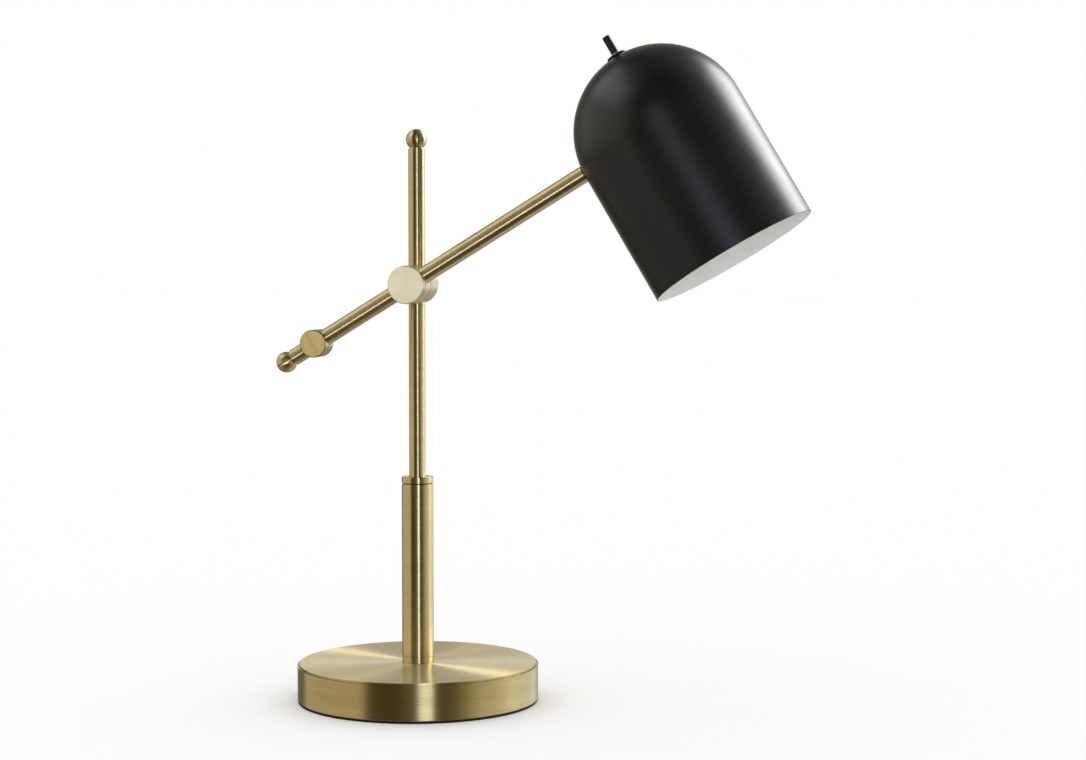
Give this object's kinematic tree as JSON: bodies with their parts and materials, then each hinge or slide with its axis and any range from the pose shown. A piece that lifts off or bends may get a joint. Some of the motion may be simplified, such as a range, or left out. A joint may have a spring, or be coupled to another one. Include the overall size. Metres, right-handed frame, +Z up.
{
  "type": "swing arm desk lamp",
  "caption": "Desk lamp with a round weighted base, thick column, thin stem, friction clutch, balanced tilting arm with a ball tail, and a domed shade with a switch on top.",
  "frame": {"origin": "middle of the base's rest face, on the axis of the column", "axes": "+Z up along the column and stem, +X the way the arm reaches towards the shade, +Y to the back, where the cord inlet is"},
  "size_m": [0.4234, 0.1925, 0.5172],
  "materials": {
    "brushed_brass": "satin brushed, clear lacquered",
    "pale_brass": "fine satin, face turned",
    "plain_brass": "bright turned",
    "black_enamel": "satin black outside, white inside",
    "black_plastic": "satin moulded",
    "base_foam": "matte closed-cell foam",
    "cast_iron": "as cast",
    "zinc_steel": "bright zinc",
    "nickel": "nickel plate",
    "white_nylon": "moulded",
    "black_fibre": "pressed fibre",
    "lead_sleeve": "soft sleeve",
    "frosted_glass": "frosted white"
  },
  "bodies": {
    "stand": {"base_cover": "brushed_brass", "base_weight": "cast_iron", "base_plate": "zinc_steel", "plate_screws": "zinc_steel", "base_pad": "base_foam", "cord_inlet": "black_plastic", "terminal_block": "white_nylon", "terminal_screws": "plain_brass", "rod": "zinc_steel", "rod_washer": "zinc_steel", "rod_lock_washer": "zinc_steel", "rod_nut": "zinc_steel", "column_foot": "brushed_brass", "column_tube": "brushed_brass", "column_collar": "brushed_brass", "swivel_bush": "white_nylon", "swivel_spring": "zinc_steel", "thrust_washer": "white_nylon", "column_seat": "plain_brass", "stop_pin": "zinc_steel", "base_lead": "lead_sleeve"},
    "stem": {"stem_tube": "brushed_brass", "stem_foot": "plain_brass", "stem_finial": "brushed_brass", "stem_block": "brushed_brass", "clutch_bolt": "plain_brass", "disc_spring": "zinc_steel", "friction_washer": "black_fibre", "stem_lead": "lead_sleeve"},
    "clutch_knob": {"clutch_knob": "pale_brass"},
    "arm": {"arm_block": "brushed_brass", "arm_tube": "brushed_brass", "tail_weight": "brushed_brass", "tail_grub_screw": "zinc_steel", "tail_finial": "brushed_brass", "arm_end_plug": "plain_brass", "arm_nipple": "zinc_steel", "arm_washer": "black_fibre", "head_spring": "zinc_steel", "head_nut": "zinc_steel", "arm_lead": "lead_sleeve"},
    "shade": {"shade_shell": "black_enamel", "head_spacer": "zinc_steel", "socket_bracket": "zinc_steel", "socket_body": "black_plastic", "socket_nipple": "zinc_steel", "socket_nut": "zinc_steel", "screw_shell": "plain_brass", "centre_contact": "plain_brass", "head_lead": "lead_sleeve", "switch_leads": "lead_sleeve", "bulb_glass": "frosted_glass", "bulb_cap": "nickel", "switch_body": "black_plastic", "switch_bushing": "nickel", "switch_lock_nut": "zinc_steel", "switch_ring_nut": "black_plastic"},
    "switch": {"switch_knob": "black_plastic"}
  },
  "joints": [
    {"name": "stem_swivel", "type": "hinge", "parent": "stand", "child": "stem", "pos_m": [0, 0, 0.1775], "axis": [0, 0, 1], "range_deg": [-165, 165]},
    {"name": "arm_tilt", "type": "hinge", "parent": "stem", "child": "arm", "pos_m": [0, -0.0185, 0.3285], "axis": [0, -1, 0], "range_deg": [-74, 46]},
    {"name": "clutch_knob_turn", "type": "hinge", "parent": "stem", "child": "clutch_knob", "pos_m": [0, -0.0275, 0.3285], "axis": [0, -1, 0], "range_deg": [0, 180]},
    {"name": "shade_turn", "type": "hinge", "parent": "arm", "child": "shade", "pos_m": [0.14143, -0.0185, 0.41348], "axis": [0.8572, 0, 0.515], "range_deg": [-60, 60]},
    {"name": "switch_turn", "type": "hinge", "parent": "shade", "child": "switch", "pos_m": [0.16195, -0.0185, 0.50748], "axis": [-0.515, 0, 0.8572], "continuous": true}
  ]
}
